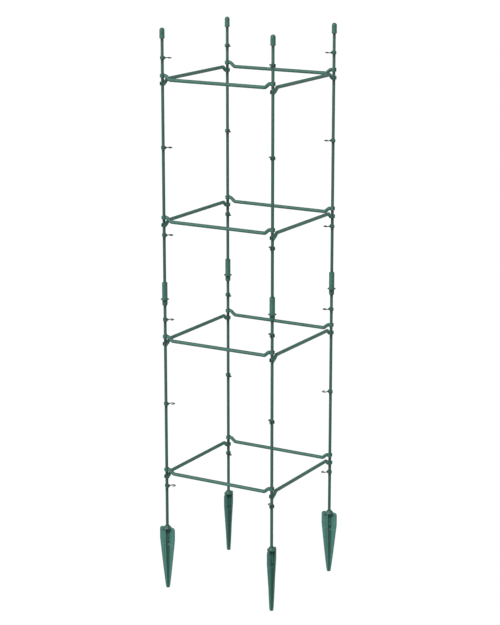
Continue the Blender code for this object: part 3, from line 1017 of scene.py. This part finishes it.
# %% [markdown]
# ## Setting a piece in place
#
# Each fine piece stands for one solid: it takes the solid's place, rides on the same body and names the
# finish that it wears. The record says which body each solid belongs to. A piece that stands upright
# goes on the middle of its solid's box, turned to suit its corner of the tower.

# %% Set a piece
BODY_OF = {node: body
           for body, nodes in frame["record"]["behaviour"]["bodies"].items()
           for node in nodes}


def set_piece(node, mesh, material, place):
    """Shows the mesh in place of the node's solid, on the body that the solid rides on."""
    piece = bpy.data.objects.new("fine_" + node, mesh)
    bpy.context.scene.collection.objects.link(piece)
    piece.matrix_world = place
    if not mesh.materials:
        mesh.materials.append(material)
    bpy.context.view_layer.update()
    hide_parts(node)
    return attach(piece, BODY_OF[node])


def upright(x, y, z, turn=0.0):
    """Place of a piece that is turned only about its own axis, in degrees."""
    return Matrix.Translation((x, y, z)) @ Matrix.Rotation(radians(turn), 4, "Z")


def standing(node, turn=0.0):
    """Place on the middle of the solid's box, at the box's foot."""
    low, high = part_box(node)
    return upright((low.x + high.x) / 2, (low.y + high.y) / 2, low.z, turn)


print(len(BODY_OF), "solids have a body to ride on")

# %% [markdown]
# ## The four stakes
#
# The tubes, couplers, caps and spikes stand on the middle of their solid's box. A hook goes to the axis
# that it swivels about, at the middle of its box's height. A hook and a spike have a second finish for
# their marked faces. Both are painted shade: the hook's arm goes nearly black, and the spike's collar
# top takes the hook's deeper green.

# %% Stakes
CORNER_TURNS = {"front_left": 45, "front_right": 135, "back_right": 225, "back_left": 315}
SPIKE_TURNS = {"front_left": 0, "front_right": 90, "back_right": 0, "back_left": 90}
HOOKS_ON_A_STAKE = 6

# The second finishes are painted shade, on the hook's arm and on the spike's collar top.
TWO_FINISHES = ((spike_mesh, spike_plastic, hook_plastic_and_roof_shade), (hook_mesh, hook_plastic_and_roof_shade, arm_shade_plastic))
for mesh, first, second in TWO_FINISHES:
    mesh.materials.append(first)
    mesh.materials.append(second)

for corner, turn in CORNER_TURNS.items():
    lower, upper, coupler, cap, spike = [
        f"{part}_{corner}" for part in ("lower_stake", "upper_stake", "coupler", "cap", "spike")]
    for node in (lower, upper):
        set_piece(node, tube_mesh, coated_tube, standing(node))
    set_piece(coupler, coupler_mesh, turned_plastic, standing(coupler, turn))
    set_piece(cap, cap_mesh, turned_plastic, standing(cap, turn))
    set_piece(spike, spike_mesh, spike_plastic, standing(spike, SPIKE_TURNS[corner]))
    axis = standing(lower).translation
    for number in range(1, HOOKS_ON_A_STAKE + 1):
        node = f"hook_{corner}_{number}"
        low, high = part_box(node)
        place = upright(axis.x, axis.y, (low.z + high.z) / 2, turn)
        set_piece(node, hook_mesh, hook_plastic_and_roof_shade, place)
print(len(CORNER_TURNS), "stakes with", HOOKS_ON_A_STAKE, "hooks each")

# %% [markdown]
# ## The four sides
#
# A bar goes to the middle between its two stakes. The bars of the left and the right side are the same
# bars upside down, so their clips sit below and leave room for those of the front and the back.

# %% Sides
SIDES = {"front": (0, False), "right": (90, True), "back": (0, False), "left": (90, True)}
LEVELS = 4

for side, (turn, upside_down) in SIDES.items():
    for number in range(1, LEVELS + 1):
        node = f"bar_{side}_{number}"
        low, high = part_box(node)
        height = high.z - BAR_RADIUS if upside_down else low.z + BAR_RADIUS
        place = upright((low.x + high.x) / 2, (low.y + high.y) / 2, height, turn)
        if upside_down:
            place = place @ Matrix.Rotation(pi, 4, "X")
        set_piece(node, bar_mesh, moulded_plastic, place)

# %% [markdown]
# ## Floor
#
# The tower stands in a plain white studio. To the camera and to gloss, the wide floor glows nearly white,
# and a little matt white on top takes the tower's soft shadow. To all other rays it is a dim matt floor
# that throws little light upwards. A Light Path node tells these rays apart.

# %% Floor
FLOOR_REACH = 60.0
FLOOR_LEVEL = -0.0005
FLOOR_GLOW = 0.96
FLOOR_MATT = (0.12, 0.12, 0.12)
FLOOR_BOUNCE = (0.22, 0.22, 0.22)


def split_for_camera(graph, seen, lit):
    """Shader that is one thing to camera, gloss and glass rays, and another to light."""
    rays = [graph.node("ShaderNodeLightPath", output=f"Is {kind} Ray")
            for kind in ("Camera", "Glossy", "Transmission")]
    either = rays[0].maths("MAXIMUM", rays[0], rays[1].maths("MAXIMUM", rays[1], rays[2]))
    return graph.node("ShaderNodeMixShader", sockets={0: either, 1: lit, 2: seen})


def make_floor():
    """Wide floor just under the tips of the spikes."""
    mesh = bpy.data.meshes.new("floor")
    corners = [(-1, -1), (1, -1), (1, 1), (-1, 1)]
    mesh.from_pydata([(x * FLOOR_REACH, y * FLOOR_REACH, FLOOR_LEVEL) for x, y in corners],
                     [], [(0, 1, 2, 3)])
    floor = bpy.data.objects.new("floor", mesh)
    bpy.context.scene.collection.objects.link(floor)
    finish = Finish("pale_floor")
    finish.tree.nodes.remove(finish.shader)
    glow = finish.node("ShaderNodeEmission", sockets={"Strength": FLOOR_GLOW})
    matt = finish.node("ShaderNodeBsdfDiffuse", sockets={"Color": (*FLOOR_MATT, 1.0)})
    pale = finish.node("ShaderNodeAddShader", sockets={0: glow, 1: matt})
    dim = finish.node("ShaderNodeBsdfDiffuse", sockets={"Color": (*FLOOR_BOUNCE, 1.0)})
    finish.feed(finish.tree.nodes["Material Output"], {"Surface": split_for_camera(finish, pale, dim)})
    mesh.materials.append(finish.material)
    print(floor.name, "of", 2 * FLOOR_REACH, "m")


make_floor()

# %% [markdown]
# ## World
#
# The world is white to the camera as well. As a lamp it is bright at the sides and dark overhead, which
# keeps the tops of the collars as deep as their sides.

# %% World
WHITE = (1.0, 1.0, 1.0)
SIDE_GREY = (0.85, 0.85, 0.85)
TOP_GREY = (0.05, 0.05, 0.05)


def make_world():
    """World that is white to the camera, and grey to dark from the sides up as a lamp."""
    world = bpy.data.worlds.new("studio")
    world.use_nodes = True
    graph = Graph(world.node_tree)
    direction = graph.node("ShaderNodeTexCoord", output="Generated")
    height = graph.node("ShaderNodeSeparateXYZ", sockets={0: direction}, output=2)
    grey = between(graph, height, SIDE_GREY, TOP_GREY)
    lit = graph.node("ShaderNodeBackground", sockets={"Color": grey})
    seen = graph.node("ShaderNodeBackground", sockets={"Color": (*WHITE, 1.0)})
    graph.feed(graph.tree.nodes["World Output"], {"Surface": split_for_camera(graph, seen, lit)})
    bpy.context.scene.world = world
    print("world", world.name)


make_world()

# %% [markdown]
# ## Light
#
# The stakes are light on their left half and deep green on their right, and no top is much lighter than
# its sides. So the key light is broad and stands low at the front left, and a very wide fill from the
# right keeps the bars there from going black. Sun lamps light the whole tall tower evenly, where area
# lamps would fade down it. A third, small lamp higher up gives only gloss: it draws the light line along
# the bars' shoulders and the spot on each cap without lighting the tops.

# %% Sun
def direction_to(azimuth, elevation):
    """Direction from the tower to a place that many radians to the right of the front, and up."""
    return Vector((sin(azimuth) * cos(elevation), -cos(azimuth) * cos(elevation), sin(elevation)))


def add_sun(name, azimuth, elevation, strength, angle, gloss_only=False):
    """Sun lamp, with its place and its apparent width in degrees."""
    lamp = bpy.data.lights.new(name, "SUN")
    lamp.energy = strength
    lamp.angle = radians(angle)
    sun = bpy.data.objects.new(name, lamp)
    bpy.context.scene.collection.objects.link(sun)
    sun.visible_diffuse = not gloss_only
    towards = direction_to(radians(azimuth), radians(elevation))
    sun.rotation_euler = towards.to_track_quat("Z", "Y").to_euler()
    print(name, "light from", azimuth, "degrees,", elevation, "degrees up")


add_sun("key", azimuth=-28.0, elevation=12.0, strength=2.0, angle=34.0)
add_sun("fill", azimuth=60.0, elevation=10.0, strength=1.7, angle=100.0)
add_sun("glint", azimuth=-10.0, elevation=46.0, strength=4.0, angle=4.0, gloss_only=True)

# %% [markdown]
# ## Camera
#
# The camera looks from the right of the front, a little from above, through a long lens. A wide lens
# close by would spread the stakes, so that they no longer looked parallel.

# %% Camera
AZIMUTH = radians(30.10)
ELEVATION = radians(14.25)
DISTANCE = 5.135
TARGET_HEIGHT = 0.7486
TARGET_SHIFT = 0.0022
SENSOR = 36.0
LENS = 112.45


def make_camera():
    """Camera aimed near the middle of the tower."""
    towards = direction_to(AZIMUTH, ELEVATION)
    right = Vector((cos(AZIMUTH), sin(AZIMUTH), 0.0))
    target = Vector((0.0, 0.0, TARGET_HEIGHT)) + right * TARGET_SHIFT
    data = bpy.data.cameras.new("camera")
    data.sensor_width = SENSOR
    data.lens = LENS
    camera = bpy.data.objects.new("camera", data)
    bpy.context.scene.collection.objects.link(camera)
    camera.location = target + towards * DISTANCE
    camera.rotation_euler = towards.to_track_quat("Z", "Y").to_euler()
    bpy.context.scene.camera = camera
    print("camera", DISTANCE, "m away,", LENS, "mm lens")


make_camera()
bpy.context.scene.view_settings.view_transform = "Standard"

# %% [markdown]
# ## Updating the scene
#
# The fine pieces must keep to the space of the solids. The view layer is updated once more, so that the
# places of all pieces are current.

# %% Update
bpy.context.view_layer.update()
